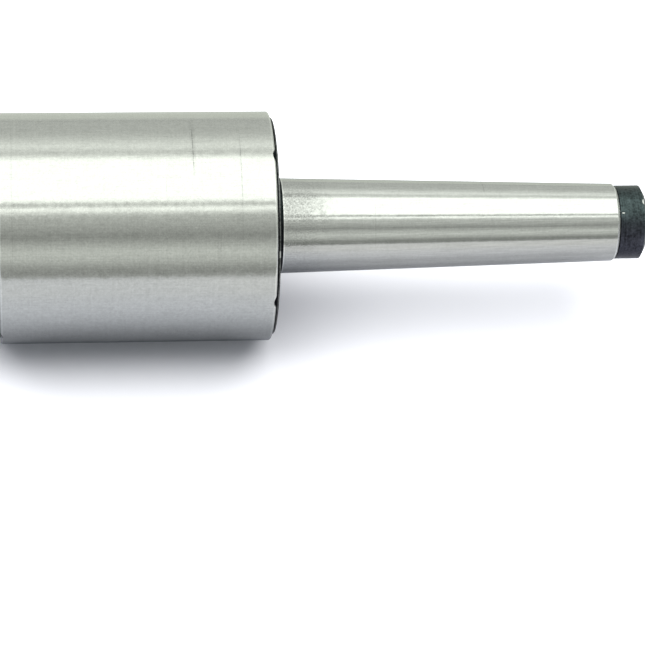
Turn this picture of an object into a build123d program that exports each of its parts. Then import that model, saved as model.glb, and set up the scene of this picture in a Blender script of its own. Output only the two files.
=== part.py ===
"""A live center: a turning 60 degree point in a ground steel body on a Morse taper shank.

Units are millimetres. The long axis is X: the point is at -X and the shank at +X. The origin is the
centre of the Morse taper's gauge plane. Threads are plain cylinders at their nominal size.
"""
from build123d import *
import math
import os

# ---- fits, as radial gaps ----
FIXED_FIT = 0.01        # pieces pressed or screwed together
ROLLING_FIT = 0.02      # between a rolling element and its race
CAGE_FIT = 0.10         # between a rolling element and its cage

# ---- Morse taper shank, size 3 ----
GAUGE_R = 23.825 / 2
TAPER_PER_MM = 1 / 19.922 / 2       # radius lost for each millimetre
GAUGE_TO_SHOULDER = 5.0
TAPER_LENGTH = 81.7
NECK_LENGTH = 2.08
NECK_R = 11.8
TAPER_END_CHAMFER = 0.55
TENON_R = 9.35
TENON_LENGTH = 7.3
TENON_CHAMFER_LENGTH = 0.9           # along the axis
TENON_CHAMFER_DEPTH = 1.6            # towards the axis
CENTRE_HOLE_R = 4.0
CENTRE_DRILL_R = 1.6
CENTRE_DRILL_DEPTH = 8.0
CENTRE_HALF_ANGLE = 30.0
DRILL_HALF_ANGLE = 59.0

# ---- sleeve ----
SLEEVE_R = 28.75
SLEEVE_LENGTH = 67.2
SLEEVE_EDGE = 0.6
SLEEVE_BORE_R = 23.0
FLANGE_PROUD = 0.8                  # how far the shank's flange stands out of the sleeve
FLANGE_R = 27.2
FLANGE_RECESS_R = 27.6
FLANGE_RECESS_DEPTH = 2.0
FLANGE_EDGE = 0.12
FLANGE_RIM = 0.36                   # the part of the flange behind its relief groove
FLANGE_GROOVE_R = 26.7
FLANGE_GROOVE_WIDTH = 0.8
THREAD_R = 26.5
REAR_THREAD_LENGTH = 12.0
FRONT_THREAD_LENGTH = 7.0
STAKE_WIDTH = 3.9
STAKE_DEPTH = 0.6
REAR_STAKE_ANGLES = (7, 85, 182, 268)       # degrees from -Y towards +Z, punched by hand
FRONT_STAKE_ANGLES = (118, 229, 340)
THREAD_RUNOUT = 0.5                 # how far the plug's thread stops short of the sleeve's step
PLUG_EDGE = 1.0

# ---- front bearing: deep groove, 25 x 52 x 15 ----
FRONT_BORE_R = 12.5
FRONT_OUTER_R = 26.0
FRONT_WIDTH = 15.0
FRONT_BALL_R = 7.938 / 2
FRONT_PITCH_R = 19.25
FRONT_BALLS = 9
FRONT_INNER_LAND_R = 17.2
FRONT_OUTER_LAND_R = 22.3
GROOVE_RATIO = 1.04                 # race groove radius over ball radius
RING_CHAMFER = 0.8
CAGE_SHEET = 0.8
FRONT_CAGE_IN_R = 17.9
FRONT_CAGE_OUT_R = 21.2
RIVET_R = 0.5
RIVET_HEAD_R = 0.9
RIVET_HEAD_HEIGHT = 0.5
SHIM_THICKNESS = 0.5
SHIM_IN_R = 23.2
SHIM_OUT_R = 25.5

# ---- lock washer and lock nut for a 25 mm thread ----
LOCK_WASHER_THICKNESS = 1.25
LOCK_WASHER_R = 18.2
LOCK_TAB_R = 21.0
LOCK_TABS = 13
LOCK_ANGLE = 90         # where the keyway, the bent tab and a nut slot line up
LOCK_TAB_WIDTH = 4.4
BENT_TAB_LENGTH = 4.5
BENT_TAB_IN_R = 17.3
NUT_R = 19.0
NUT_WIDTH = 7.0
NUT_SLOT_WIDTH = 5.0
NUT_SLOT_DEPTH = 2.0
NUT_SLOTS = 4
KEYWAY_WIDTH = 5.2
KEYWAY_DEPTH = 2.0
TAB_FIT = 0.2
NUT_CHAMFER = 1.0
NUT_TO_THRUST = 2.6

# ---- thrust bearing: 20 x 35 x 10 ----
THRUST_BORE_R = 10.0
THRUST_OUTER_R = 17.5
THRUST_HOUSING_BORE_R = 10.5
THRUST_HEIGHT = 10.0
THRUST_WASHER = 3.0
THRUST_BALL_R = 5.556 / 2
THRUST_PITCH_R = 13.75
THRUST_BALLS = 12
THRUST_GROOVE_RATIO = 1.08
THRUST_CAGE_THICKNESS = 2.4
THRUST_CAGE_IN_R = 10.9
THRUST_CAGE_OUT_R = 16.7
THRUST_SHIM_THICKNESS = 0.4
THRUST_SHIM_IN_R = 11.0
THRUST_SHIM_OUT_R = 17.0
THRUST_CHAMFER = 0.4
SHAFT_WASHER_OUT_R = 17.3

# ---- needle bearing: drawn cup, 15 x 21 x 16 ----
NEEDLE_SHAFT_R = 7.5
CUP_R = 10.5
CUP_WALL = 1.0
CUP_LENGTH = 16.0
CUP_LIP_R = 8.2
CUP_LIP_THICKNESS = 0.8
NEEDLES = 16
NEEDLE_LENGTH = 11.8
NEEDLE_CAGE_IN_R = 7.8
NEEDLE_CAGE_OUT_R = 9.2
NEEDLE_CAGE_LENGTH = 14.0
CUP_INSET = 0.6
CUP_END_GAP = 0.4
CUP_DRILL_POINT = 2.0
SPINDLE_PAST_CUP = 0.3

# ---- spindle and front cap ----
COLLAR_R = 16.0
COLLAR_LENGTH = 18.15
NOSE_R = 12.5
NOSE_LENGTH = 10.0
POINT_HALF_ANGLE = 30.0
TIP_R = 0.25
SPINDLE_EDGE = 1.0
CAP_BORE_R = 16.3
CAP_PROUD = 4.0
CAP_EDGE = 1.0
CAP_BOSS_R = 20.0
CAP_BOSS_DRAFT = 0.5
CAP_BOSS_HEIGHT = 2.5
SPANNER_HOLE_R = 2.0
SPANNER_HOLE_DEPTH = 4.0
SPANNER_PITCH_R = 23.5
SPANNER_HOLES = 4
SPANNER_FIRST_ANGLE = 45
SEAL_R = 22.5
SEAL_WIDTH = 7.0
SEAL_SHEET = 0.8
SEAL_CASE_IN_R = 18.5
SEAL_BOND_R = 19.5
SEAL_THROAT_R = 17.1
SEAL_WAIST_R = 18.0
SEAL_HEAD_R = 18.3
SEAL_NOSE_R = 16.9
SEAL_SPRING_R = 0.6
SEAL_SPRING_PITCH_R = 18.4
SEAL_RUN_FIT = 0.03

# ---- places along X, worked out from the sizes above ----
SHOULDER_X = -GAUGE_TO_SHOULDER
TAPER_START_X = SHOULDER_X + NECK_LENGTH
TENON_START_X = TAPER_LENGTH + TAPER_END_CHAMFER
TENON_END_X = TENON_START_X + TENON_LENGTH
SLEEVE_REAR_X = SHOULDER_X - FLANGE_PROUD
SLEEVE_FRONT_X = SLEEVE_REAR_X - SLEEVE_LENGTH
REAR_SEAT_X = SLEEVE_REAR_X - FLANGE_RECESS_DEPTH
REAR_THREAD_X = REAR_SEAT_X - REAR_THREAD_LENGTH
FRONT_SEAT_X = SLEEVE_FRONT_X + FLANGE_RECESS_DEPTH
BEARING_FRONT_X = FRONT_SEAT_X + FRONT_THREAD_LENGTH
BEARING_REAR_X = BEARING_FRONT_X + FRONT_WIDTH
BALL_X = BEARING_FRONT_X + FRONT_WIDTH / 2
CAP_REAR_X = BEARING_FRONT_X - SHIM_THICKNESS
CAP_FRONT_X = SLEEVE_FRONT_X - CAP_PROUD
NUT_FRONT_X = BEARING_REAR_X + LOCK_WASHER_THICKNESS
NUT_REAR_X = NUT_FRONT_X + NUT_WIDTH
THRUST_SEAT_X = NUT_REAR_X + NUT_TO_THRUST
THRUST_REAR_X = THRUST_SEAT_X + THRUST_HEIGHT
THRUST_BALL_X = THRUST_SEAT_X + THRUST_HEIGHT / 2
PLUG_POCKET_X = THRUST_REAR_X + THRUST_SHIM_THICKNESS
PLUG_FRONT_X = THRUST_BALL_X
CUP_FRONT_X = PLUG_POCKET_X + CUP_INSET
CUP_REAR_X = CUP_FRONT_X + CUP_LENGTH
CUP_MID_X = (CUP_FRONT_X + CUP_REAR_X) / 2
SPINDLE_REAR_X = CUP_REAR_X + SPINDLE_PAST_CUP
COLLAR_FRONT_X = BEARING_FRONT_X - COLLAR_LENGTH
NOSE_FRONT_X = COLLAR_FRONT_X - NOSE_LENGTH
SEAL_FRONT_X = CAP_REAR_X - SEAL_WIDTH


def turned(*outline):
    """A solid turned about the X axis from corners given as (x, radius)."""
    return revolve(make_face(Polyline(*outline, close=True)), Axis.X)


def ring(start_x, end_x, inner_r, outer_r, chamfer=0.0):
    """A plain ring, with its outer edges chamfered if asked."""
    if chamfer == 0:
        return turned((start_x, inner_r), (start_x, outer_r), (end_x, outer_r), (end_x, inner_r))
    return turned(
        (start_x, inner_r),
        (start_x, outer_r - chamfer),
        (start_x + chamfer, outer_r),
        (end_x - chamfer, outer_r),
        (end_x, outer_r - chamfer),
        (end_x, inner_r),
    )


def disc(start_x, end_x, radius):
    """A solid cylinder along X."""
    return ring(start_x, end_x, 0, radius)


def torus_about_x(x, pitch_r, tube_r):
    """A torus round the X axis."""
    return Pos(x, 0, 0) * Rot(0, 90, 0) * Torus(pitch_r, tube_r)


def spot(x, radius, angle):
    """A place at a radius from the axis, its own Y pointing outwards. Angle 0 is -Y, 90 is +Z."""
    return Pos(x, 0, 0) * Rot(180 - angle, 0, 0) * Pos(0, radius, 0)


def round_spots(count, x, radius, first_angle=0.0):
    """Evenly spaced places round the X axis."""
    return [spot(x, radius, first_angle + 360 * i / count) for i in range(count)]


def along_x(radius, length):
    """A cylinder centred on its own place and running along X."""
    return Rot(0, 90, 0) * Cylinder(radius, length)


def cut_all(body, tools):
    """The body with every tool taken away."""
    for tool in tools:
        body = body - tool
    return body


def taper_r(x):
    """Radius of the Morse taper at x."""
    return GAUGE_R - x * TAPER_PER_MM


def stake_marks(rim_x, into_x, angles):
    """Round-bottomed punch marks that bite into a rim. into_x is +1 or -1, out of the rim."""
    half_width = STAKE_WIDTH / 2
    punch_r = (half_width**2 + STAKE_DEPTH**2) / (2 * STAKE_DEPTH)
    centre_x = rim_x + into_x * (punch_r - STAKE_DEPTH)
    reach = SLEEVE_R - FLANGE_RECESS_R
    punch = Rot(90, 0, 0) * Cylinder(punch_r, 4 * reach)
    return [spot(centre_x, SLEEVE_R, angle) * punch for angle in angles]


def body_sleeve():
    """Ground outer tube: bearing seat at the front, a thread and a flange recess at each end."""
    tube = turned(
        (SLEEVE_FRONT_X, FLANGE_RECESS_R),
        (SLEEVE_FRONT_X, SLEEVE_R),
        (SLEEVE_REAR_X, SLEEVE_R),
        (SLEEVE_REAR_X, FLANGE_RECESS_R),
        (REAR_SEAT_X, FLANGE_RECESS_R),
        (REAR_SEAT_X, THREAD_R),
        (REAR_THREAD_X, THREAD_R),
        (REAR_THREAD_X, SLEEVE_BORE_R),
        (BEARING_REAR_X, SLEEVE_BORE_R),
        (BEARING_REAR_X, FRONT_OUTER_R + FIXED_FIT),
        (BEARING_FRONT_X, FRONT_OUTER_R + FIXED_FIT),
        (BEARING_FRONT_X, THREAD_R),
        (FRONT_SEAT_X, THREAD_R),
        (FRONT_SEAT_X, FLANGE_RECESS_R),
    )
    circles = tube.edges().filter_by(GeomType.CIRCLE)
    tube = fillet(circles.filter_by(lambda edge: edge.radius > SLEEVE_R - FIXED_FIT), SLEEVE_EDGE)
    rear_marks = stake_marks(SLEEVE_REAR_X, 1, REAR_STAKE_ANGLES)
    front_marks = stake_marks(SLEEVE_FRONT_X, -1, FRONT_STAKE_ANGLES)
    return cut_all(tube, rear_marks + front_marks)


def centre_hole(face_x):
    """A 60 degree centre hole, open towards +X."""
    cone_depth = (CENTRE_HOLE_R - CENTRE_DRILL_R) / math.tan(math.radians(CENTRE_HALF_ANGLE))
    drill_tip = CENTRE_DRILL_R / math.tan(math.radians(DRILL_HALF_ANGLE))
    return turned(
        (face_x, 0),
        (face_x, CENTRE_HOLE_R),
        (face_x - cone_depth, CENTRE_DRILL_R),
        (face_x - CENTRE_DRILL_DEPTH, CENTRE_DRILL_R),
        (face_x - CENTRE_DRILL_DEPTH - drill_tip, 0),
    )


def taper_shank():
    """Threaded plug, grooved flange, relief neck, Morse taper and tenon, in one piece."""
    pilot_r = SLEEVE_BORE_R - FIXED_FIT
    thread_r = THREAD_R - FIXED_FIT
    groove_x = SHOULDER_X - FLANGE_RIM
    shank = turned(
        (PLUG_POCKET_X, 0),
        (PLUG_POCKET_X, THRUST_OUTER_R + FIXED_FIT),
        (PLUG_FRONT_X, THRUST_OUTER_R + FIXED_FIT),
        (PLUG_FRONT_X, pilot_r - PLUG_EDGE),
        (PLUG_FRONT_X + PLUG_EDGE, pilot_r),
        (REAR_THREAD_X + THREAD_RUNOUT, pilot_r),
        (REAR_THREAD_X + THREAD_RUNOUT, thread_r),
        (REAR_SEAT_X, thread_r),
        (REAR_SEAT_X, FLANGE_R),
        (groove_x - FLANGE_GROOVE_WIDTH, FLANGE_R),
        (groove_x - FLANGE_GROOVE_WIDTH, FLANGE_GROOVE_R),
        (groove_x, FLANGE_GROOVE_R),
        (groove_x, FLANGE_R),
        (SHOULDER_X - FLANGE_EDGE, FLANGE_R),
        (SHOULDER_X, FLANGE_R - FLANGE_EDGE),
        (SHOULDER_X, NECK_R),
        (TAPER_START_X, NECK_R),
        (TAPER_START_X, taper_r(TAPER_START_X)),
        (TAPER_LENGTH, taper_r(TAPER_LENGTH)),
        (TENON_START_X, TENON_R),
        (TENON_END_X - TENON_CHAMFER_LENGTH, TENON_R),
        (TENON_END_X, TENON_R - TENON_CHAMFER_DEPTH),
        (TENON_END_X, 0),
    )
    cup_hole_x = CUP_REAR_X + CUP_END_GAP
    cup_hole = disc(PLUG_POCKET_X, cup_hole_x, CUP_R + FIXED_FIT)
    drilled_end = turned((cup_hole_x, 0), (cup_hole_x, CUP_LIP_R), (cup_hole_x + CUP_DRILL_POINT, 0))
    return shank - cup_hole - drilled_end - centre_hole(TENON_END_X)


def front_cap():
    """Threaded front cap: a flange, a raised boss, spanner holes and the seal's pocket."""
    boss_x = CAP_FRONT_X - CAP_BOSS_HEIGHT
    cap = turned(
        (CAP_REAR_X, SEAL_R + FIXED_FIT),
        (CAP_REAR_X, THREAD_R - FIXED_FIT),
        (FRONT_SEAT_X, THREAD_R - FIXED_FIT),
        (FRONT_SEAT_X, FLANGE_R),
        (CAP_FRONT_X + CAP_EDGE, FLANGE_R),
        (CAP_FRONT_X, FLANGE_R - CAP_EDGE),
        (CAP_FRONT_X, CAP_BOSS_R),
        (boss_x + CAP_EDGE, CAP_BOSS_R - CAP_BOSS_DRAFT),
        (boss_x, CAP_BOSS_R - CAP_BOSS_DRAFT - CAP_EDGE),
        (boss_x, CAP_BORE_R),
        (SEAL_FRONT_X, CAP_BORE_R),
        (SEAL_FRONT_X, SEAL_R + FIXED_FIT),
    )
    hole_x = CAP_FRONT_X + SPANNER_HOLE_DEPTH / 2
    drill = along_x(SPANNER_HOLE_R, SPANNER_HOLE_DEPTH)
    places = round_spots(SPANNER_HOLES, hole_x, SPANNER_PITCH_R, SPANNER_FIRST_ANGLE)
    return cut_all(cap, [place * drill for place in places])


def spindle():
    """The turning point: 60 degree cone, nose, seal collar and three journals."""
    cone_length = (NOSE_R - TIP_R) / math.tan(math.radians(POINT_HALF_ANGLE))
    tip_x = NOSE_FRONT_X - cone_length
    journal_r = FRONT_BORE_R - FIXED_FIT
    thrust_r = THRUST_BORE_R - FIXED_FIT
    shaft = turned(
        (tip_x, 0),
        (tip_x, TIP_R),
        (NOSE_FRONT_X, NOSE_R),
        (COLLAR_FRONT_X, NOSE_R),
        (COLLAR_FRONT_X, COLLAR_R - SPINDLE_EDGE),
        (COLLAR_FRONT_X + SPINDLE_EDGE, COLLAR_R),
        (BEARING_FRONT_X, COLLAR_R),
        (BEARING_FRONT_X, journal_r),
        (THRUST_SEAT_X, journal_r),
        (THRUST_SEAT_X, thrust_r),
        (THRUST_REAR_X, thrust_r),
        (THRUST_REAR_X, NEEDLE_SHAFT_R),
        (SPINDLE_REAR_X - SPINDLE_EDGE, NEEDLE_SHAFT_R),
        (SPINDLE_REAR_X, NEEDLE_SHAFT_R - SPINDLE_EDGE),
        (SPINDLE_REAR_X, 0),
    )
    keyway_length = THRUST_SEAT_X - BEARING_REAR_X
    keyway_x = (THRUST_SEAT_X + BEARING_REAR_X) / 2
    keyway_block = Box(keyway_length, 2 * KEYWAY_DEPTH, KEYWAY_WIDTH)
    return shaft - spot(keyway_x, journal_r, LOCK_ANGLE) * keyway_block


def front_bearing_outer_ring():
    """Outer race of the front bearing."""
    groove_r = FRONT_BALL_R * GROOVE_RATIO
    floor_r = FRONT_PITCH_R + FRONT_BALL_R + ROLLING_FIT
    blank = ring(BEARING_FRONT_X, BEARING_REAR_X, FRONT_OUTER_LAND_R, FRONT_OUTER_R, RING_CHAMFER)
    return blank - torus_about_x(BALL_X, floor_r - groove_r, groove_r)


def front_bearing_inner_ring():
    """Inner race of the front bearing."""
    groove_r = FRONT_BALL_R * GROOVE_RATIO
    floor_r = FRONT_PITCH_R - FRONT_BALL_R - ROLLING_FIT
    blank = ring(BEARING_FRONT_X, BEARING_REAR_X, FRONT_BORE_R, FRONT_INNER_LAND_R)
    return blank - torus_about_x(BALL_X, floor_r + groove_r, groove_r)


def front_bearing_balls():
    """The ring of balls in the front bearing."""
    places = round_spots(FRONT_BALLS, BALL_X, FRONT_PITCH_R)
    return [place * Sphere(FRONT_BALL_R) for place in places]


def cage_rivet_spots():
    """Places midway between the front bearing's balls."""
    return round_spots(FRONT_BALLS, BALL_X, FRONT_PITCH_R, 180 / FRONT_BALLS)


def front_cage_half(side):
    """Half of the pressed ribbon cage: flats between the balls, cups over them. side is -1 or +1."""
    pocket_r = FRONT_BALL_R + CAGE_FIT
    cup_r = pocket_r + CAGE_SHEET
    places = round_spots(FRONT_BALLS, BALL_X, FRONT_PITCH_R)
    start_x = min(BALL_X, BALL_X + side * CAGE_SHEET)
    half = ring(start_x, start_x + CAGE_SHEET, FRONT_CAGE_IN_R, FRONT_CAGE_OUT_R)
    band_start_x = min(BALL_X, BALL_X + side * FRONT_WIDTH)
    band = ring(band_start_x, band_start_x + FRONT_WIDTH, FRONT_CAGE_IN_R, FRONT_CAGE_OUT_R)
    for place in places:
        half = half + (place * Sphere(cup_r) & band)
    half = cut_all(half, [place * Sphere(pocket_r) for place in places])
    rivet_hole = along_x(RIVET_R + FIXED_FIT, 4 * CAGE_SHEET)
    return cut_all(half, [place * rivet_hole for place in cage_rivet_spots()])


def front_bearing_cage_rivets():
    """Rivets that join the two halves of the front cage."""
    head_x = CAGE_SHEET + RIVET_HEAD_HEIGHT / 2
    head = along_x(RIVET_HEAD_R, RIVET_HEAD_HEIGHT)
    rivet = along_x(RIVET_R, 2 * CAGE_SHEET) + Pos(head_x, 0, 0) * head + Pos(-head_x, 0, 0) * head
    return [place * rivet for place in cage_rivet_spots()]


def bearing_shim():
    """Thin ring between the front cap and the outer race."""
    return ring(CAP_REAR_X, BEARING_FRONT_X, SHIM_IN_R, SHIM_OUT_R)


def seal_case():
    """Pressed steel case of the shaft seal."""
    return turned(
        (SEAL_FRONT_X, SEAL_CASE_IN_R),
        (SEAL_FRONT_X, SEAL_R),
        (CAP_REAR_X, SEAL_R),
        (CAP_REAR_X, SEAL_R - SEAL_SHEET),
        (SEAL_FRONT_X + SEAL_SHEET, SEAL_R - SEAL_SHEET),
        (SEAL_FRONT_X + SEAL_SHEET, SEAL_CASE_IN_R),
    )


def seal_spring_ring(tube_r):
    """The garter spring's place, as a torus of the given thickness."""
    return torus_about_x(SEAL_FRONT_X + 0.66 * SEAL_WIDTH, SEAL_SPRING_PITCH_R, tube_r)


def seal_lip():
    """Rubber lip that rubs on the spindle's collar."""
    case_face_x = SEAL_FRONT_X + SEAL_SHEET
    case_edge_r = SEAL_CASE_IN_R - FIXED_FIT
    lip = turned(
        (SEAL_FRONT_X, SEAL_THROAT_R),
        (SEAL_FRONT_X, case_edge_r),
        (case_face_x, case_edge_r),
        (case_face_x, SEAL_BOND_R),
        (case_face_x + SEAL_SHEET, SEAL_BOND_R),
        (case_face_x + 2 * SEAL_SHEET, SEAL_WAIST_R),
        (SEAL_FRONT_X + 0.54 * SEAL_WIDTH, SEAL_HEAD_R),
        (SEAL_FRONT_X + 0.84 * SEAL_WIDTH, SEAL_HEAD_R),
        (SEAL_FRONT_X + 0.79 * SEAL_WIDTH, SEAL_NOSE_R),
        (SEAL_FRONT_X + 0.60 * SEAL_WIDTH, COLLAR_R + SEAL_RUN_FIT),
        (SEAL_FRONT_X + 0.34 * SEAL_WIDTH, SEAL_THROAT_R),
    )
    return lip - seal_spring_ring(SEAL_SPRING_R + FIXED_FIT)


def seal_garter_spring():
    """Coiled ring that presses the lip on the collar, as a plain ring."""
    return seal_spring_ring(SEAL_SPRING_R)


def lock_washer():
    """Tab washer: one inner tab in the spindle's keyway, one outer tab bent into the nut."""
    washer = ring(BEARING_REAR_X, NUT_FRONT_X, FRONT_BORE_R + FIXED_FIT, LOCK_WASHER_R)
    mid_x = (BEARING_REAR_X + NUT_FRONT_X) / 2
    tab = Box(LOCK_WASHER_THICKNESS, 2 * (LOCK_TAB_R - LOCK_WASHER_R), LOCK_TAB_WIDTH)
    for place in round_spots(LOCK_TABS, mid_x, LOCK_WASHER_R, LOCK_ANGLE)[1:]:
        washer = washer + place * tab
    inner_tab = Box(LOCK_WASHER_THICKNESS, 2 * (KEYWAY_DEPTH - TAB_FIT), KEYWAY_WIDTH - TAB_FIT)
    washer = washer + spot(mid_x, FRONT_BORE_R, LOCK_ANGLE) * inner_tab
    bent_length = BENT_TAB_LENGTH + LOCK_WASHER_THICKNESS
    bent_x = BEARING_REAR_X + bent_length / 2
    bent_tab = Box(bent_length, LOCK_WASHER_THICKNESS, LOCK_TAB_WIDTH)
    return washer + spot(bent_x, BENT_TAB_IN_R + LOCK_WASHER_THICKNESS / 2, LOCK_ANGLE) * bent_tab


def lock_nut():
    """Slotted round nut that clamps the inner race."""
    nut = ring(NUT_FRONT_X, NUT_REAR_X, FRONT_BORE_R, NUT_R, NUT_CHAMFER)
    mid_x = (NUT_FRONT_X + NUT_REAR_X) / 2
    slot = Box(NUT_WIDTH, 2 * NUT_SLOT_DEPTH, NUT_SLOT_WIDTH)
    places = round_spots(NUT_SLOTS, mid_x, NUT_R, LOCK_ANGLE)
    return cut_all(nut, [place * slot for place in places])


def thrust_race(side):
    """Torus that cuts a washer's race. side is -1 for the shaft washer, +1 for the housing washer."""
    groove_r = THRUST_BALL_R * THRUST_GROOVE_RATIO
    floor_x = THRUST_BALL_X + side * (THRUST_BALL_R + ROLLING_FIT)
    return torus_about_x(floor_x - side * groove_r, THRUST_PITCH_R, groove_r)


def thrust_shaft_washer():
    """Thrust washer that turns with the spindle."""
    rear_x = THRUST_SEAT_X + THRUST_WASHER
    blank = ring(THRUST_SEAT_X, rear_x, THRUST_BORE_R, SHAFT_WASHER_OUT_R, THRUST_CHAMFER)
    return blank - thrust_race(-1)


def thrust_housing_washer():
    """Thrust washer that sits still in the shank's plug."""
    front_x = THRUST_REAR_X - THRUST_WASHER
    blank = ring(front_x, THRUST_REAR_X, THRUST_HOUSING_BORE_R, THRUST_OUTER_R, THRUST_CHAMFER)
    return blank - thrust_race(1)


def thrust_balls():
    """The ring of balls in the thrust bearing."""
    places = round_spots(THRUST_BALLS, THRUST_BALL_X, THRUST_PITCH_R)
    return [place * Sphere(THRUST_BALL_R) for place in places]


def thrust_cage():
    """Flat cage that spaces the thrust balls."""
    half = THRUST_CAGE_THICKNESS / 2
    cage = ring(THRUST_BALL_X - half, THRUST_BALL_X + half, THRUST_CAGE_IN_R, THRUST_CAGE_OUT_R)
    pocket = along_x(THRUST_BALL_R + CAGE_FIT, 2 * THRUST_CAGE_THICKNESS)
    places = round_spots(THRUST_BALLS, THRUST_BALL_X, THRUST_PITCH_R)
    return cut_all(cage, [place * pocket for place in places])


def thrust_shim():
    """Thin ring behind the housing washer, which sets the end play."""
    return ring(THRUST_REAR_X, PLUG_POCKET_X, THRUST_SHIM_IN_R, THRUST_SHIM_OUT_R)


def needle_cup():
    """Drawn cup with a lip at each end."""
    race_r = CUP_R - CUP_WALL
    return turned(
        (CUP_FRONT_X, CUP_LIP_R),
        (CUP_FRONT_X, CUP_R),
        (CUP_REAR_X, CUP_R),
        (CUP_REAR_X, CUP_LIP_R),
        (CUP_REAR_X - CUP_LIP_THICKNESS, CUP_LIP_R),
        (CUP_REAR_X - CUP_LIP_THICKNESS, race_r),
        (CUP_FRONT_X + CUP_LIP_THICKNESS, race_r),
        (CUP_FRONT_X + CUP_LIP_THICKNESS, CUP_LIP_R),
    )


def needle_pitch_r():
    """Radius of the circle through the needles' centres."""
    return (NEEDLE_SHAFT_R + CUP_R - CUP_WALL) / 2


def needle_r():
    """Radius of a needle."""
    return needle_pitch_r() - NEEDLE_SHAFT_R - ROLLING_FIT


def needle_rollers():
    """The ring of needles."""
    places = round_spots(NEEDLES, CUP_MID_X, needle_pitch_r())
    return [place * along_x(needle_r(), NEEDLE_LENGTH) for place in places]


def needle_cage():
    """Thin cage with a window for each needle."""
    half = NEEDLE_CAGE_LENGTH / 2
    cage = ring(CUP_MID_X - half, CUP_MID_X + half, NEEDLE_CAGE_IN_R, NEEDLE_CAGE_OUT_R)
    window = along_x(needle_r() + CAGE_FIT, NEEDLE_LENGTH + 2 * CAGE_FIT)
    places = round_spots(NEEDLES, CUP_MID_X, needle_pitch_r())
    return cut_all(cage, [place * window for place in places])


PIECES = {
    "body_sleeve": body_sleeve(),
    "taper_shank": taper_shank(),
    "front_cap": front_cap(),
    "spindle": spindle(),
    "front_bearing_outer_ring": front_bearing_outer_ring(),
    "front_bearing_inner_ring": front_bearing_inner_ring(),
    "front_bearing_balls": front_bearing_balls(),
    "front_bearing_cage_front": front_cage_half(-1),
    "front_bearing_cage_rear": front_cage_half(1),
    "front_bearing_cage_rivets": front_bearing_cage_rivets(),
    "bearing_shim": bearing_shim(),
    "seal_case": seal_case(),
    "seal_lip": seal_lip(),
    "seal_garter_spring": seal_garter_spring(),
    "lock_washer": lock_washer(),
    "lock_nut": lock_nut(),
    "thrust_shaft_washer": thrust_shaft_washer(),
    "thrust_balls": thrust_balls(),
    "thrust_cage": thrust_cage(),
    "thrust_housing_washer": thrust_housing_washer(),
    "thrust_shim": thrust_shim(),
    "needle_cup": needle_cup(),
    "needle_rollers": needle_rollers(),
    "needle_cage": needle_cage(),
}

os.makedirs("parts", exist_ok=True)
for node, shape in PIECES.items():
    solids = []
    for item in shape if isinstance(shape, list) else [shape]:
        solids.extend(item.solids())
    export_step(solids[0] if len(solids) == 1 else Compound(solids), f"parts/{node}.step")
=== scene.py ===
"""Looks of a live center: ground steel sleeve and Morse taper, black oxide flange, tenon and cap."""
import math

import bpy
from mathutils import Matrix, Vector


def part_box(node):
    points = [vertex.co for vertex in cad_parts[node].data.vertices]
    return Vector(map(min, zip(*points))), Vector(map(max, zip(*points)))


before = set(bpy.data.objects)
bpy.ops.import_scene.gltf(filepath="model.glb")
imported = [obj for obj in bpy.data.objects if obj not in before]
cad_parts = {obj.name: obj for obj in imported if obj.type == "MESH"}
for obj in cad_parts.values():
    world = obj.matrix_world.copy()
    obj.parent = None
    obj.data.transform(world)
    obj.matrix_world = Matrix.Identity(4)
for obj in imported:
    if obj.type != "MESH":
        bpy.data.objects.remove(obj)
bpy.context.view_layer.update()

MM = 0.001
WHITE = (1.0, 1.0, 1.0)


# ---- places read from the frame, in metres ----
SLEEVE_LOW, SLEEVE_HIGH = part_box("body_sleeve")
SHANK_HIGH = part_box("taper_shank")[1]
SLEEVE_FRONT = SLEEVE_LOW.x
SLEEVE_REAR = SLEEVE_HIGH.x
TENON_END = SHANK_HIGH.x
SHOULDER = SLEEVE_REAR + 0.8 * MM          # the flange's rear face
GROOVE_START = SLEEVE_REAR - 1.0 * MM      # the relief groove between the sleeve and the flange's rim
GROOVE_END = SHOULDER - 0.36 * MM
TAPER_START = SHOULDER + 2.08 * MM         # where the black neck ends and the ground taper starts
NECK_R = 11.8 * MM
BLACK_TENON = TENON_END - 7.29 * MM        # where the black of the tenon starts
TENON_CORNER = TENON_END - 0.9 * MM        # where the chamfer at the tenon's end starts
FLANGE_R = SHANK_HIGH.y
TENON_R = 9.35 * MM
FLOOR_Z = SLEEVE_LOW.z


# ---- a small writer for node trees ----
# A Mix node's colour sockets go by number, because its other sockets have the same names.
COLOUR_A = 6
COLOUR_B = 7
COLOUR_RESULT = 2


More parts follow.
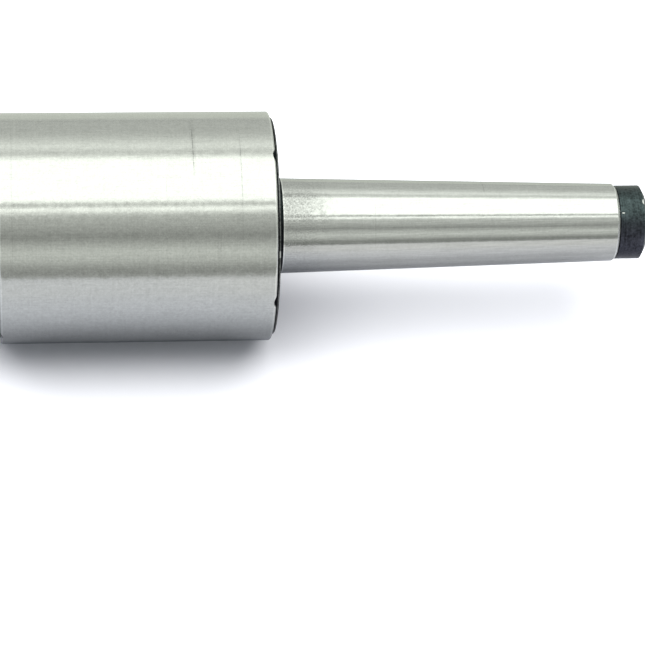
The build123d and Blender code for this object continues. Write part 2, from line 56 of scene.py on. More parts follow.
class Graph:
    """Adds nodes to one tree and links them, so that a material reads as a few lines."""

    def __init__(self, tree):
        self.tree = tree
        tree.nodes.clear()

    def add(self, kind, **settings):
        """A new node with its properties set."""
        node = self.tree.nodes.new(kind)
        for key, value in settings.items():
            setattr(node, key, value)
        return node

    def put(self, socket, value):
        """Links a socket, or sets a plain value, on an input."""
        if isinstance(value, bpy.types.NodeSocket):
            self.tree.links.new(value, socket)
        else:
            socket.default_value = value

    def math(self, operation, a, b=0.0):
        """A math node's result."""
        node = self.add("ShaderNodeMath", operation=operation)
        self.put(node.inputs[0], a)
        self.put(node.inputs[1], b)
        return node.outputs[0]

    def smooth(self, value, low, high):
        """0 below low, 1 above high, smooth in between."""
        node = self.add("ShaderNodeMapRange", interpolation_type="SMOOTHSTEP")
        self.put(node.inputs["Value"], value)
        self.put(node.inputs["From Min"], low)
        self.put(node.inputs["From Max"], high)
        return node.outputs["Result"]

    def scale(self, value, low, high, to_low, to_high):
        """value moved from one range to another, clamped."""
        node = self.add("ShaderNodeMapRange")
        self.put(node.inputs["Value"], value)
        self.put(node.inputs["From Min"], low)
        self.put(node.inputs["From Max"], high)
        self.put(node.inputs["To Min"], to_low)
        self.put(node.inputs["To Max"], to_high)
        return node.outputs["Result"]

    def vector(self, x, y, z):
        """A vector from three values."""
        node = self.add("ShaderNodeCombineXYZ")
        for socket, value in zip(node.inputs, (x, y, z)):
            self.put(socket, value)
        return node.outputs[0]

    def noise(self, vector, scale, detail=2.0, roughness=0.5):
        """A noise texture's value, 0 to 1."""
        node = self.add("ShaderNodeTexNoise")
        self.put(node.inputs["Vector"], vector)
        node.inputs["Scale"].default_value = scale
        node.inputs["Detail"].default_value = detail
        node.inputs["Roughness"].default_value = roughness
        return node.outputs["Fac"]

    def ramp(self, value, stops):
        """A colour ramp. stops are (place, colour)."""
        node = self.add("ShaderNodeValToRGB")
        elements = node.color_ramp.elements
        while len(elements) < len(stops):
            elements.new(0.5)
        for element, (place, tint) in zip(elements, stops):
            element.position = place
            element.color = colour(*tint)
        self.put(node.inputs[0], value)
        return node.outputs[0]

    def mix_colour(self, factor, a, b, blend="MIX"):
        """Two colours mixed."""
        node = self.add("ShaderNodeMix", data_type="RGBA", blend_type=blend)
        self.put(node.inputs["Factor"], factor)
        self.put(node.inputs[COLOUR_A], a)
        self.put(node.inputs[COLOUR_B], b)
        return node.outputs[COLOUR_RESULT]

    def shader(self, **inputs):
        """A Principled shader with named inputs."""
        node = self.add("ShaderNodeBsdfPrincipled")
        for key, value in inputs.items():
            self.put(node.inputs[key.replace("_", " ")], value)
        return node.outputs[0]

    def bump(self, height, distance, normal=None):
        """A bumped normal. distance is in metres."""
        node = self.add("ShaderNodeBump")
        node.inputs["Distance"].default_value = distance
        self.put(node.inputs["Height"], height)
        if normal is not None:
            self.put(node.inputs["Normal"], normal)
        return node.outputs[0]

    def finish(self, shader):
        """Ends the tree at a surface output."""
        out = self.add("ShaderNodeOutputMaterial")
        self.tree.links.new(shader, out.inputs["Surface"])


def colour(red, green, blue):
    """A colour with full alpha, for a node's input."""
    return (red, green, blue, 1.0)


def new_material(name):
    """An empty node material and its graph."""
    material = bpy.data.materials.new(name)
    material.use_nodes = True
    return material, Graph(material.node_tree)


def object_place(graph):
    """The shaded point's place, in metres."""
    return graph.add("ShaderNodeTexCoord").outputs["Object"]


def split_place(graph, place):
    """A place's x, y and z."""
    node = graph.add("ShaderNodeSeparateXYZ")
    graph.put(node.inputs[0], place)
    return node.outputs


def cylinder_places(graph):
    """(x along the axis, angle round it in radians, distance from it) of the shaded point, in metres."""
    x, y, z = split_place(graph, object_place(graph))
    angle = graph.math("ARCTAN2", z, graph.math("MULTIPLY", y, -1.0))
    squares = graph.math("ADD", graph.math("MULTIPLY", y, y), graph.math("MULTIPLY", z, z))
    return x, angle, graph.math("SQRT", squares)


def stretched(graph, place, share):
    """A place whose steps along X count for less, so that a noise looks drawn out along the axis."""
    node = graph.add("ShaderNodeVectorMath", operation="MULTIPLY")
    graph.put(node.inputs[0], place)
    graph.put(node.inputs[1], (share, 1.0, 1.0))
    return node.outputs[0]


STREAKS_PER_RADIAN = 0.9
AXIAL_ALONG = 110.0         # how often the lines along the axis change along it, per metre
AXIAL_AROUND = 3300.0       # and round it
MARK_FADE = math.radians(6.0)
SPOT_MIDDLE = 0.5           # a bright spot is full within this squared distance from its middle
SPOT_EDGE = 1.3             # and gone beyond this one
SPOT_SKIN = 0.3 * MM        # how far from the piece's surface a bright spot can show


def streaks(graph, x, angle, per_metre, seed):
    """Marks that run round the axis: fine along it and long round it. 0 to 1."""
    along = graph.math("MULTIPLY", x, per_metre)
    around = graph.math("MULTIPLY", angle, STREAKS_PER_RADIAN)
    return graph.noise(graph.vector(along, around, seed), 1.0, 3.0, 0.6)


def axial_lines(graph, x, angle, radius, seed):
    """Faint lines along the axis, where the work was slid through a fixture. 0 to 1."""
    along = graph.math("MULTIPLY", x, AXIAL_ALONG)
    around = graph.math("MULTIPLY", graph.math("MULTIPLY", angle, radius), AXIAL_AROUND)
    return graph.noise(graph.vector(along, around, seed), 1.0, 2.0, 0.6)


def mark(graph, x, angle, place, width, low, high):
    """1 on a narrow ring at place along the axis, between two angles in degrees, fading at its ends."""
    across = graph.math("ABSOLUTE", graph.math("SUBTRACT", x, place))
    line = graph.smooth(across, width, 0.4 * width)
    after = graph.smooth(angle, math.radians(low) - MARK_FADE, math.radians(low) + MARK_FADE)
    before = graph.smooth(angle, math.radians(high) + MARK_FADE, math.radians(high) - MARK_FADE)
    return graph.math("MULTIPLY", line, graph.math("MULTIPLY", after, before))


def bright_spot(graph, x, angle, radius, place, at, surface_r, half_length, half_width):
    """1 on a small bright spot, for film gone to steel and for painted glints, at a place along the axis
    and an angle in degrees round it.
    """
    along = graph.math("DIVIDE", graph.math("SUBTRACT", x, place), half_length)
    turned = graph.math("SUBTRACT", angle, math.radians(at))
    around = graph.math("DIVIDE", graph.math("MULTIPLY", turned, radius), half_width)
    along = graph.math("MULTIPLY", along, along)
    around = graph.math("MULTIPLY", around, around)
    spot = graph.smooth(graph.math("ADD", along, around), SPOT_EDGE, SPOT_MIDDLE)
    off = graph.math("ABSOLUTE", graph.math("SUBTRACT", radius, surface_r))
    return graph.math("MULTIPLY", spot, graph.smooth(off, SPOT_SKIN, 0.5 * SPOT_SKIN))


def soft_edges(graph, radius):
    """A normal that rounds every sharp edge by radius, in metres, so that it catches the light."""
    node = graph.add("ShaderNodeBevel", samples=6)
    node.inputs["Radius"].default_value = radius
    return node.outputs[0]


def between(graph, value, low, high, edge):
    """1 where low < value < high, with soft edges."""
    after = graph.smooth(value, low - edge, low + edge)
    before = graph.smooth(value, high + edge, high - edge)
    return graph.math("MULTIPLY", after, before)


def combined(graph, operation, values):
    """Several values joined by one math operation."""
    total = values[0]
    for value in values[1:]:
        total = graph.math(operation, total, value)
    return total


def weighted(graph, pairs):
    """The sum of values, each times its share."""
    return combined(graph, "ADD", [graph.math("MULTIPLY", value, share) for value, share in pairs])


# ---- ground steel: how often each kind of unevenness repeats, per metre ----
FINE_LINES = 5200.0         # grinding lines round the axis
BROAD_LINES = 700.0         # the same, wide and faint
MOTTLE = 880.0
GRAIN = 1900.0
CLOUD = 190.0
SMUDGE = 1300.0             # gaps in the marks
WANDER = 420.0              # the rough patch's ragged end
GRIT = 2300.0               # the rough patch's specks
GRIT_HEIGHT = 2.5           # and their height, against the mottle's
MOTTLE_STRETCH = 0.85       # the mottle is a little longer along the axis
STEEL_BUMP = 0.000009       # height of the unevenness, in metres
EDGE_BLUR = 0.03 * MM
ROUGH_FROM = math.radians(58.0)     # the rough patch is worst between these angles
ROUGH_TO = math.radians(90.0)
ROUGH_FADE = math.radians(8.0)


def marked(graph, tone, x, angle, place, rows):
    """The tone with rings and smudges taken out of it. rows are as in SLEEVE_MARKS."""
    worn_and_sheen = combined(graph, "MAXIMUM", [
        graph.math("MULTIPLY", mark(graph, x, angle, *row[:4]), row[4]) for row in rows
    ])
    patchy = graph.scale(graph.noise(place, SMUDGE, 2.0, 0.6), 0.35, 0.55, 0.3, 1.0)
    return graph.math("SUBTRACT", tone, graph.math("MULTIPLY", worn_and_sheen, patchy))


def with_edge_highlights(graph, tone, x, rows):
    """The tone with painted highlights along edges. rows are (from, to, gain) along X."""
    for low, high, gain in rows:
        band = between(graph, x, low, high, EDGE_BLUR)
        tone = graph.math("MULTIPLY", tone, graph.scale(band, 0.0, 1.0, 1.0, gain))
    return tone


def roughened(graph, tone, height, x, angle, place, centre, half_width):
    """The tone and the height with a rough, speckled patch, ragged at its end, worst near the top."""
    away = graph.math("ABSOLUTE", graph.math("SUBTRACT", x, centre))
    reach = 0.3 * half_width
    wander = graph.scale(graph.noise(place, WANDER, 2.0, 0.6), 0.3, 0.7, -reach, reach)
    near = graph.smooth(graph.math("ADD", away, wander), 1.15 * half_width, 0.2 * half_width)
    top = between(graph, angle, ROUGH_FROM, ROUGH_TO, ROUGH_FADE)
    grit = graph.noise(place, GRIT, 2.0, 0.6)
    darkest = graph.scale(top, 0.0, 1.0, 0.8, 0.42)
    brightest = graph.scale(top, 0.0, 1.0, 1.0, 0.86)
    specks = graph.scale(grit, 0.3, 0.65, darkest, brightest)
    tone = graph.math("MULTIPLY", tone, graph.scale(near, 0.0, 1.0, 1.0, specks))
    pits = graph.math("MULTIPLY", near, graph.math("MULTIPLY", grit, GRIT_HEIGHT))
    return tone, graph.math("ADD", height, pits)


def painted_bands(graph, angle, rows):
    """A share of the tone for each angle round the axis. rows are (angle in degrees, share)."""
    low = rows[0][0]
    high = rows[-1][0]
    top = max(share for at, share in rows)
    turn = graph.scale(angle, math.radians(low), math.radians(high), 0.0, 1.0)
    stops = [((at - low) / (high - low), (share / top,) * 3) for at, share in rows]
    return graph.math("MULTIPLY", graph.ramp(turn, stops), top)


def ground_steel_shader(
    graph, tint, roughness=0.22, depth=0.17, lines=0.3, marks=(), bright_edges=(), rough_patch=None,
    bands=None,
):
    """Cylindrically ground steel: light stretches along the axis, fine marks run round it.

    depth is how much the tone varies, lines how strong the lines along the axis are. rough_patch is
    (centre, half width) along X, bands are painted round the axis.
    """
    x, angle, radius = cylinder_places(graph)
    place = object_place(graph)
    fine = streaks(graph, x, angle, FINE_LINES, 1.0)
    broad = streaks(graph, x, angle, BROAD_LINES, 5.0)
    mottle = graph.noise(stretched(graph, place, MOTTLE_STRETCH), MOTTLE, 1.5, 0.5)
    grain = graph.noise(place, GRAIN, 2.0, 0.6)
    cloud = graph.noise(place, CLOUD, 3.0, 0.6)
    drawn = axial_lines(graph, x, angle, radius, 4.0)
    shade = weighted(graph, [(fine, 0.2), (broad, 0.1), (mottle, 0.25), (grain, 0.45), (drawn, lines)])
    total = 1.0 + lines
    tone = graph.scale(shade, 0.35 * total, 0.65 * total, 1.0 - depth, 1.0 + depth)
    if marks:
        tone = marked(graph, tone, x, angle, place, marks)
    # painted highlights along the given edges
    tone = with_edge_highlights(graph, tone, x, bright_edges)
    rough = graph.scale(graph.math("ADD", mottle, cloud), 0.7, 1.3, roughness * 0.85, roughness * 1.2)
    height = weighted(graph, [(fine, 0.15), (mottle, 1.0), (cloud, 0.9)])
    if rough_patch:
        tone, height = roughened(graph, tone, height, x, angle, place, *rough_patch)
    if bands:
        tone = graph.math("MULTIPLY", tone, painted_bands(graph, angle, bands))
    base = graph.mix_colour(1.0, colour(*tint), tone, "MULTIPLY")
    tangent = graph.add("ShaderNodeTangent", direction_type="RADIAL", axis="X")
    return graph.shader(
        Base_Color=base, Metallic=1.0, Roughness=rough, Anisotropic=0.95, Anisotropic_Rotation=0.25,
        Tangent=tangent.outputs[0], Normal=graph.bump(height, STEEL_BUMP),
    )


# ---- black oxide ----
FILM_LOW_WITH_PAINTED_LIGHT = (0.041, 0.043, 0.056)        # film colour with painted light: bluer on the side that faces the table, to match the photo
FILM_HIGH_WITH_PAINTED_LIGHT = (0.039, 0.052, 0.054)       # and greener on the upper side, also painted light
# lighter film on the flange's rim, for wear and for painted sheen where its edge catches light
FILM_WORN_AND_SHEEN = (0.115, 0.12, 0.118)
BARE_STEEL_AND_GLINT = (0.5, 0.51, 0.5)
FILM_LOW_ANGLE = math.radians(25.0)     # the painted light's tint changes between these
FILM_HIGH_ANGLE = math.radians(70.0)
DARKEST = 0.22                          # what is left of the tone where it is painted darker: painted shade in the groove and on the neck, and the tenon's darker ring
TURNING_LINES = 3500.0
SPECKLE = 1500.0
FILM_CLOUD = 260.0
CHIPS = 900.0
CHIP_FROM = 0.785                       # only the highest places of the chips' noise are bare
CHIP_FULL = 0.8
BLACK_BUMP = 0.000012
BLACK_ROUNDING = 0.12 * MM


def black_oxide_shader(graph, dark=None, worn_and_sheen=None, chips_and_glints=()):
    """Turned steel blackened with an oxide film, slightly blue-green.

    dark is where it is painted darker, with painted shade, worn_and_sheen is where the film is painted
    lighter, for thin film and painted sheen, chips_and_glints are spots of steel without film and painted
    glints.
    """
    x, angle, radius = cylinder_places(graph)
    place = object_place(graph)
    turning = streaks(graph, graph.math("ADD", x, radius), angle, TURNING_LINES, 9.0)
    speckle = graph.noise(place, SPECKLE, 3.0, 0.7)
    cloud = graph.noise(place, FILM_CLOUD, 3.0, 0.6)
    mixed = weighted(graph, [(turning, 1.0), (speckle, 1.6), (cloud, 1.0)])
    tone = graph.scale(mixed, 1.38, 2.22, 0.3, 1.9)
    if dark is not None:
        tone = graph.math("MULTIPLY", tone, graph.scale(dark, 0.0, 1.0, 1.0, DARKEST))
    # Painted light: the film's tint turns from bluer towards the table to greener above.
    high = graph.smooth(angle, FILM_LOW_ANGLE, FILM_HIGH_ANGLE)
    film = graph.mix_colour(high, colour(*FILM_LOW_WITH_PAINTED_LIGHT), colour(*FILM_HIGH_WITH_PAINTED_LIGHT))
    if worn_and_sheen is not None:
        film = graph.mix_colour(worn_and_sheen, film, colour(*FILM_WORN_AND_SHEEN))
    base = graph.mix_colour(1.0, film, tone, "MULTIPLY")
    bare_and_glint = graph.smooth(graph.noise(place, CHIPS, 2.0, 0.5), CHIP_FROM, CHIP_FULL)
    # Spots where the film is gone, and painted glints, take the steel colour.
    for row in chips_and_glints:
        bare_and_glint = graph.math("MAXIMUM", bare_and_glint, bright_spot(graph, x, angle, radius, *row))
    base = graph.mix_colour(bare_and_glint, base, colour(*BARE_STEEL_AND_GLINT))
    rough = graph.scale(speckle, 0.3, 0.7, 0.27, 0.42)
    height = graph.math("ADD", turning, speckle)
    normal = graph.bump(height, BLACK_BUMP, normal=soft_edges(graph, BLACK_ROUNDING))
    return graph.shader(Base_Color=base, Metallic=1.0, Roughness=rough, Normal=normal)


def ground_steel(name, tint, **settings):
    """A ground steel material."""
    material, graph = new_material(name)
    graph.finish(ground_steel_shader(graph, tint, **settings))
    return material


def black_oxide(name):
    """A black oxide material."""
    material, graph = new_material(name)
    graph.finish(black_oxide_shader(graph))
    return material


SLEEVE_TINT = (0.52, 0.53, 0.51)
SHANK_TINT = (0.52, 0.53, 0.515)
# Rings and smudges left on the steel: (place along X, half width, from angle, to angle, strength), in
# metres and degrees, where 0 faces -Y and 90 is up.
SLEEVE_MARKS = (
    (SLEEVE_REAR - 20.0 * MM, 0.22 * MM, 75, 104, 0.4),
    (SLEEVE_REAR - 20.0 * MM, 0.9 * MM, 80, 112, 0.09),
    (SLEEVE_REAR - 8.5 * MM, 0.2 * MM, 60, 92, 0.3),
    (SLEEVE_REAR - 8.5 * MM, 0.2 * MM, 30, 100, 0.08),
    (SLEEVE_REAR - 14.6 * MM, 0.17 * MM, 34, 42, 0.24),
    (SLEEVE_REAR - 13.8 * MM, 0.17 * MM, 35, 41, 0.2),
    (SLEEVE_REAR - 14.1 * MM, 0.7 * MM, 32, 43, 0.08),
    (SLEEVE_REAR - 26.8 * MM, 0.17 * MM, 66, 69, 0.4),
    (SLEEVE_REAR - 63.9 * MM, 0.2 * MM, 30, 110, 0.1),
    (SLEEVE_REAR - 44.0 * MM, 0.14 * MM, 130, 230, 0.2),
    (SLEEVE_REAR - 30.0 * MM, 0.35 * MM, 160, 205, 0.15),
)
SHANK_MARKS = (
    (TAPER_START + 23.0 * MM, 0.18 * MM, 20, 75, 0.12),
    (TAPER_START + 51.0 * MM, 0.15 * MM, 95, 170, 0.18),
)
# Chips in the black film, and painted glints where light catches an edge: (place along X, angle in
# degrees, distance from the axis, half length, half width).
BLACK_CHIPS_AND_GLINTS = (
    (BLACK_TENON + 0.95 * MM, 62, TENON_R, 0.38 * MM, 0.17 * MM),
    # painted glint on the tenon's chamfer
    (TENON_CORNER + 0.1 * MM, 81, TENON_R - 0.15 * MM, 0.45 * MM, 0.8 * MM),
    (BLACK_TENON + 3.0 * MM, 200, TENON_R, 0.4 * MM, 0.2 * MM),
    # painted glint on the flange's rim
    (SHOULDER - 0.2 * MM, 33, FLANGE_R, 0.4 * MM, 0.9 * MM),
    (SHOULDER - 0.2 * MM, 151, FLANGE_R, 0.4 * MM, 0.6 * MM),
)
# Bands painted round the shank, because the one room below can't light both it and the sleeve as the
# photo shows them: (angle in degrees, share). They are tuned to the photo and turn with the piece.
SHANK_BANDS = (
    (-20, 1.0),
    (-10, 1.12),
    (-3, 1.06),
    (5, 0.95),
    (18, 0.95),
    (24, 0.92),
    (28, 0.88),
    (32, 0.96),
    (37, 1.02),
    (41, 1.11),
    (52, 1.13),
    (57, 0.95),
    (61, 1.0),
)
# Painted highlights along edges, where light catches them: (from, to, gain) along X.
SLEEVE_EDGE_HIGHLIGHTS = (
    (SLEEVE_REAR - 0.6 * MM, SLEEVE_REAR - 0.1 * MM, 1.22),
    (SLEEVE_FRONT + 0.1 * MM, SLEEVE_FRONT + 0.6 * MM, 1.22),
)
SHANK_EDGE_HIGHLIGHTS = (
    (TAPER_START, TAPER_START + 0.3 * MM, 1.4),
    (BLACK_TENON - 0.6 * MM, BLACK_TENON, 1.6),
)
ROUGH_PATCH = (TAPER_START + 2.8 * MM, 9.5 * MM)
TENON_BORDER = 0.35 * MM    # the darker ring where the black of the tenon starts
BORDER_BLUR = 0.06 * MM
BORDER_WAVER = 0.06 * MM    # how far the edge of the black film wanders
BORDER_WAVES = 4.0          # and how often, per radian
NECK_SKIN = (0.2 * MM, 0.5 * MM)        # the neck's painted shade ends between these distances from it
RIM_SKIN = (0.2 * MM, 0.4 * MM)         # and the rim's lighter film, for wear and painted sheen, between these
FILM_BLUR = 0.02 * MM
FILM_END_BLUR = 0.04 * MM   # half the width of the step from the ground taper to the tenon's black


def shank_material():
    """Ground taper between a black flange and neck and a black tenon, all on one piece."""
    material, graph = new_material("shank")
    x, angle, radius = cylinder_places(graph)
    steel = ground_steel_shader(
        graph, SHANK_TINT, roughness=0.17, depth=0.15, lines=1.0, marks=SHANK_MARKS,
        bright_edges=SHANK_EDGE_HIGHLIGHTS, rough_patch=ROUGH_PATCH, bands=SHANK_BANDS,
    )
    # Painted shade in the relief groove and on the neck, where the parts shade each other, and the darker
    # ring where the black of the tenon starts.
    groove = between(graph, x, GROOVE_START, GROOVE_END, EDGE_BLUR)
    by_neck = graph.smooth(radius, NECK_R + NECK_SKIN[1], NECK_R + NECK_SKIN[0])
    neck = graph.math("MULTIPLY", between(graph, x, SHOULDER, TAPER_START, FILM_BLUR), by_neck)
    border = between(graph, x, BLACK_TENON, BLACK_TENON + TENON_BORDER, BORDER_BLUR)
    dark = combined(graph, "MAXIMUM", [groove, neck, border])
    # The flange's rim painted lighter, for wear and for painted sheen where its edge catches light.
    by_rim = graph.smooth(radius, FLANGE_R - RIM_SKIN[1], FLANGE_R - RIM_SKIN[0])
    rim = graph.math("MULTIPLY", between(graph, x, GROOVE_END, SHOULDER, FILM_BLUR), by_rim)
    black = black_oxide_shader(graph, dark, rim, BLACK_CHIPS_AND_GLINTS)
    wobble = graph.noise(graph.vector(angle, 0.0, 3.0), BORDER_WAVES)
    along = graph.math("ADD", x, graph.scale(wobble, 0.0, 1.0, -BORDER_WAVER, BORDER_WAVER))
    front = graph.smooth(along, TAPER_START + EDGE_BLUR, TAPER_START - EDGE_BLUR)
    rear = graph.smooth(along, BLACK_TENON - FILM_END_BLUR, BLACK_TENON + FILM_END_BLUR)
    mask = graph.math("MAXIMUM", front, rear)
    mix = graph.add("ShaderNodeMixShader")
    graph.put(mix.inputs[0], mask)
    graph.put(mix.inputs[1], steel)
    graph.put(mix.inputs[2], black)
    graph.finish(mix.outputs[0])
    return material


SPINDLE_TINT = (0.54, 0.55, 0.54)
RACE_TINT = (0.6, 0.6, 0.6)
BALL_TINT = (0.72, 0.72, 0.73)
CAGE_TINT = (0.5, 0.48, 0.45)
SHEET_TINT = (0.42, 0.42, 0.41)
RUBBER_TINT = (0.02, 0.02, 0.021)
BLOTCH = 700.0
BLOTCH_BUMP = 0.000002
RUBBER_GRAIN = 2500.0
RUBBER_BUMP = 0.00001


def plain_steel(name, tint, roughness):
    """Bearing and sheet steel inside the body, with faint blotches."""
    material, graph = new_material(name)
    blotch = graph.noise(object_place(graph), BLOTCH, 4.0, 0.6)
    base = graph.mix_colour(1.0, colour(*tint), graph.scale(blotch, 0.3, 0.7, 0.88, 1.1), "MULTIPLY")
    rough = graph.scale(blotch, 0.3, 0.7, roughness * 0.8, roughness * 1.25)
    normal = graph.bump(blotch, BLOTCH_BUMP)
    graph.finish(graph.shader(Base_Color=base, Metallic=1.0, Roughness=rough, Normal=normal))
    return material


def seal_rubber():
    """Matt black nitrile rubber."""
    material, graph = new_material("seal_rubber")
    grain = graph.noise(object_place(graph), RUBBER_GRAIN, 3.0, 0.6)
    tone = graph.scale(grain, 0.3, 0.7, 0.8, 1.3)
    base = graph.mix_colour(1.0, colour(*RUBBER_TINT), tone, "MULTIPLY")
    graph.finish(graph.shader(Base_Color=base, Roughness=0.6, Normal=graph.bump(grain, RUBBER_BUMP)))
    return material


def dress_nodes():
    """Gives every CAD node its material, through its slots."""
    sleeve = ground_steel("ground_sleeve", SLEEVE_TINT, marks=SLEEVE_MARKS, bright_edges=SLEEVE_EDGE_HIGHLIGHTS)
    spindle = ground_steel("ground_spindle", SPINDLE_TINT)
    shank = shank_material()
    black = black_oxide("black_oxide")
    race = plain_steel("bearing_race", RACE_TINT, 0.2)
    ball = plain_steel("bearing_ball", BALL_TINT, 0.08)
    cage = plain_steel("pressed_cage", CAGE_TINT, 0.38)
    sheet = plain_steel("sheet_steel", SHEET_TINT, 0.35)
    rubber = seal_rubber()
    looks = {
        "body_sleeve": sleeve,
        "taper_shank": shank,
        "front_cap": black,
        "spindle": spindle,
        "seal_lip": rubber,
        "seal_case": sheet,
        "seal_garter_spring": sheet,
        "bearing_shim": sheet,
        "thrust_shim": sheet,
        "lock_washer": sheet,
        "lock_nut": black,
    }
    for name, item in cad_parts.items():
        if name in looks:
            material = looks[name]
        elif "cage" in name:
            material = cage
        elif "ball" in name or "roller" in name:
            material = ball
        else:
            material = race
        item.data.materials.clear()
        item.data.materials.append(material)


# ---- the room: light as a function of the angle round the long axis, tuned to the photo ----
# Angle 0 is the horizon on the camera's side, 90 is straight up and 180 is the horizon behind.
# Each row is (angle, brightness).
ROOM = (
    (-180, 0.45),
    (-8, 0.5),
    (-3, 0.5),
    (1, 0.4),
    (5, 0.44),
    (9, 0.57),
    (13, 0.76),
    (18, 0.87),
    (23, 0.95),
    (28, 0.8),
    (34, 0.57),
    (39, 0.42),
    (46, 0.58),
    (52, 0.7),
    (59, 0.76),
    (61, 0.95),
    (63.5, 1.4),
    (66, 2.4),
    (68, 1.5),
    (69.5, 0.65),
    (71.5, 0.65),
    (73, 1.5),
    (74.5, 2.15),
    (120, 2.15),
    (123.5, 1.3),
    (128, 0.97),
    (136, 1.43),
    (144, 1.12),
    (151, 0.91),
    (158, 0.79),
    (180, 0.73),
)
ROOM_TINT = (0.967, 1.0, 0.94)
ROOM_END_LEVEL = 0.75       # the room's two ends, along the axis
ROOM_END_FROM = 0.55        # where the ends start and are full, as the share of the direction along X
ROOM_END_TO = 0.95
BACKDROP = 1.08
AMBIENT = (0.375, 0.39, 0.43)       # what the floor gets from the room


def build_world():
    """Soft room light for the object and the floor; the camera sees plain white behind them."""
    world = bpy.data.worlds.new("room")
    bpy.context.scene.world = world
    world.use_nodes = True
    graph = Graph(world.node_tree)
    x, y, z = split_place(graph, graph.add("ShaderNodeTexCoord").outputs["Generated"])
    angle = graph.math("ARCTAN2", z, graph.math("MULTIPLY", y, -1.0))
    turn = graph.scale(angle, -math.pi, math.pi, 0.0, 1.0)
    brightest = max(level for place, level in ROOM)
    stops = []
    for place, level in ROOM:
        share = level / brightest
        stops.append(((place + 180) / 360, tuple(share * part for part in ROOM_TINT)))
    bands = graph.ramp(turn, stops)
    ends = graph.smooth(graph.math("ABSOLUTE", x), ROOM_END_FROM, ROOM_END_TO)
    end_colour = tuple(ROOM_END_LEVEL / brightest * part for part in ROOM_TINT)
    room = graph.mix_colour(ends, bands, colour(*end_colour))
    light = graph.add("ShaderNodeBackground")
    graph.put(light.inputs["Color"], room)
    light.inputs["Strength"].default_value = brightest
    white = graph.add("ShaderNodeBackground")
    white.inputs["Color"].default_value = colour(*WHITE)
    white.inputs["Strength"].default_value = BACKDROP
    ambient = graph.add("ShaderNodeBackground")
    ambient.inputs["Color"].default_value = colour(*AMBIENT)
    paths = graph.add("ShaderNodeLightPath")
    shown = light.outputs[0]
    for path, other in (("Is Diffuse Ray", ambient), ("Is Camera Ray", white)):
        mix = graph.add("ShaderNodeMixShader")
        graph.put(mix.inputs[0], paths.outputs[path])
        graph.put(mix.inputs[1], shown)
        graph.put(mix.inputs[2], other.outputs[0])
        shown = mix.outputs[0]
    out = graph.add("ShaderNodeOutputWorld")
    graph.put(out.inputs["Surface"], shown)
    world.cycles.sampling_method = "NONE"     # so that each kind of ray finds its own light


# ---- key light: a big soft box overhead that the steel doesn't mirror ----
KEY_PLACE = Vector((-0.03, 0.115, 0.75))
KEY_SIZE = (1.5, 1.15)
KEY_POWER = 21.5


def build_key_light():
    """Lights the floor and casts the soft shadow."""
    data = bpy.data.lights.new("key", "AREA")
    data.shape = "RECTANGLE"
    data.size, data.size_y = KEY_SIZE
    data.energy = KEY_POWER
    key = bpy.data.objects.new("key", data)
    turn = KEY_PLACE.to_track_quat("Z", "Y").to_matrix().to_4x4()
    key.matrix_world = Matrix.Translation(KEY_PLACE) @ turn
    key.visible_glossy = False
    key.visible_camera = False
    bpy.context.scene.collection.objects.link(key)


# ---- floor ----
FLOOR_EDGE = -0.8           # the table's near edge, as the steel reflects it
FLOOR_REACH = 4.0
# How bright the table looks in the steel: (distance from the object's middle line, brightness).
# The brightness falls towards the object as painted shade.
FLOOR_MIRRORED = (
    (0.0, 0.4),
    (0.02, 0.34),
    (0.026, 0.3),
    (0.031, 0.31),
    (0.036, 0.345),
    (0.045, 0.39),
    (0.058, 0.415),
    (0.088, 0.43),
    (0.12, 0.455),
    (0.2, 0.475),
    (0.4, 0.56),
)
FLOOR_BEHIND = (0.735, 0.755, 0.66)         # the same behind the object, against the near side: painted shade
BEHIND_FADE = 0.02
FLOOR_BY_SHANK = (1.14, 1.12, 1.07)         # the same beside the shank, against the sleeve: painted light
BESIDE_FADE = 0.03
# bluer near the object, as the painted shade's tint
FLOOR_TINT_NEAR = (0.97, 1.0, 1.1)
FLOOR_TINT_FAR = (0.985, 1.0, 1.01)
TINT_REACH = 0.12           # where the far tint is reached
TABLE_TINTS = ((0.875, 0.88, 0.905), (0.89, 0.895, 0.92))      # as the camera sees the table
TABLE_CLOUD = 60.0
SWEEP_START = 0.45          # the camera sees the table fade into the white backdrop between these
SWEEP_END = 1.3
HAZE_START = 0.2            # the steel reflects it fading into the room's horizon between these
HAZE_END = 0.8
HAZE_LEVEL = 0.71


def mirrored_floor(graph, x, y):
    """The table's colour as the steel reflects it: painted shade, darker and bluer towards the object."""
    reach = FLOOR_MIRRORED[-1][0]
    away = graph.math("DIVIDE", graph.math("ABSOLUTE", y), reach)
    stops = []
    for place, level in FLOOR_MIRRORED:
        share = min(1.0, place / TINT_REACH)
        tint = [near + share * (far - near) for near, far in zip(FLOOR_TINT_NEAR, FLOOR_TINT_FAR)]
        stops.append((place / reach, tuple(level * part for part in tint)))
    table = graph.ramp(away, stops)
    beside = graph.scale(x, SLEEVE_REAR, SLEEVE_REAR + BESIDE_FADE, 0.0, 1.0)
    near_side = graph.mix_colour(beside, colour(*WHITE), colour(*FLOOR_BY_SHANK))
    behind = graph.scale(y, 0.0, BEHIND_FADE, 0.0, 1.0)
    share = graph.mix_colour(behind, near_side, colour(*FLOOR_BEHIND))
    return graph.mix_colour(1.0, table, share, "MULTIPLY")


def floor_sheet(name, low_y, high_y, material):
    """One flat rectangle of the floor."""
    mesh = bpy.data.meshes.new(name)
    corners = [(-FLOOR_REACH, low_y), (FLOOR_REACH, low_y), (FLOOR_REACH, high_y), (-FLOOR_REACH, high_y)]
    mesh.from_pydata([(x, y, FLOOR_Z) for x, y in corners], [], [(0, 1, 2, 3)])
    mesh.materials.append(material)
    sheet = bpy.data.objects.new(name, mesh)
    bpy.context.scene.collection.objects.link(sheet)
    return sheet


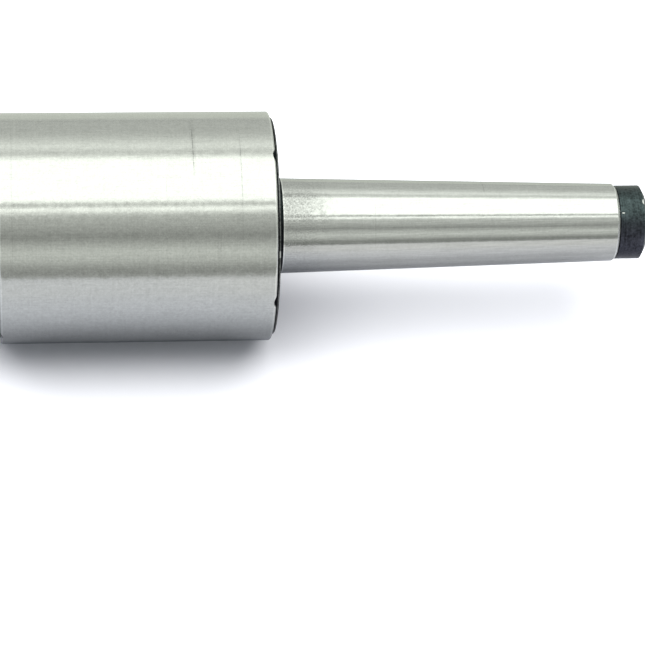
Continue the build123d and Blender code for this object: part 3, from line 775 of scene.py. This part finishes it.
def build_floor():
    """A pale table top. The strip nearest the camera is seen only by the camera."""
    material, graph = new_material("floor")
    cloud = graph.noise(object_place(graph), TABLE_CLOUD, 3.0, 0.6)
    seen = graph.mix_colour(cloud, *(colour(*tint) for tint in TABLE_TINTS))
    x, y = split_place(graph, object_place(graph))[:2]
    by_camera = graph.add("ShaderNodeLightPath").outputs["Is Camera Ray"]
    base = graph.mix_colour(by_camera, mirrored_floor(graph, x, y), seen)
    table = graph.shader(Base_Color=base, Roughness=0.9, Specular_IOR_Level=0.0)
    squares = graph.math("ADD", graph.math("MULTIPLY", x, x), graph.math("MULTIPLY", y, y))
    far = graph.smooth(graph.math("SQRT", squares), SWEEP_START, SWEEP_END)
    haze = graph.smooth(y, HAZE_START, HAZE_END)
    backdrop = graph.add("ShaderNodeEmission")
    backdrop_colour = graph.mix_colour(by_camera, colour(*ROOM_TINT), colour(*WHITE))
    graph.put(backdrop.inputs["Color"], backdrop_colour)
    graph.put(backdrop.inputs["Strength"], graph.scale(by_camera, 0.0, 1.0, HAZE_LEVEL, BACKDROP))
    mix = graph.add("ShaderNodeMixShader")
    graph.put(mix.inputs[0], graph.scale(by_camera, 0.0, 1.0, haze, far))
    graph.put(mix.inputs[1], table)
    graph.put(mix.inputs[2], backdrop.outputs[0])
    graph.finish(mix.outputs[0])
    floor_sheet("floor", FLOOR_EDGE, FLOOR_REACH, material)
    near = floor_sheet("floor_near", -FLOOR_REACH, FLOOR_EDGE, material)
    near.visible_glossy = False
    near.visible_diffuse = False
    near.visible_shadow = False


# ---- camera ----
CAMERA_PLACE = Vector((-0.06633, -0.46839, 0.5202))
CAMERA_AIM = Vector((0.00769, -0.01824, -0.01642))
CAMERA_ROLL = 6.32
CAMERA_LENS = 155.8         # in millimetres, as is the sensor
SENSOR_WIDTH = 36.0
NEAREST_SEEN = 0.01


def build_camera():
    """A long lens, above and to the left, aimed at the shoulder between sleeve and shank."""
    data = bpy.data.cameras.new("camera")
    data.lens = CAMERA_LENS
    data.sensor_width = SENSOR_WIDTH
    data.clip_start = NEAREST_SEEN
    camera = bpy.data.objects.new("camera", data)
    bpy.context.scene.collection.objects.link(camera)
    turn = (CAMERA_AIM - CAMERA_PLACE).to_track_quat("-Z", "Y").to_matrix().to_4x4()
    roll = Matrix.Rotation(math.radians(CAMERA_ROLL), 4, "Z")
    camera.matrix_world = Matrix.Translation(CAMERA_PLACE) @ turn @ roll
    bpy.context.scene.camera = camera


dress_nodes()
build_world()
build_key_light()
build_floor()
build_camera()
bpy.context.scene.view_settings.view_transform = "Standard"
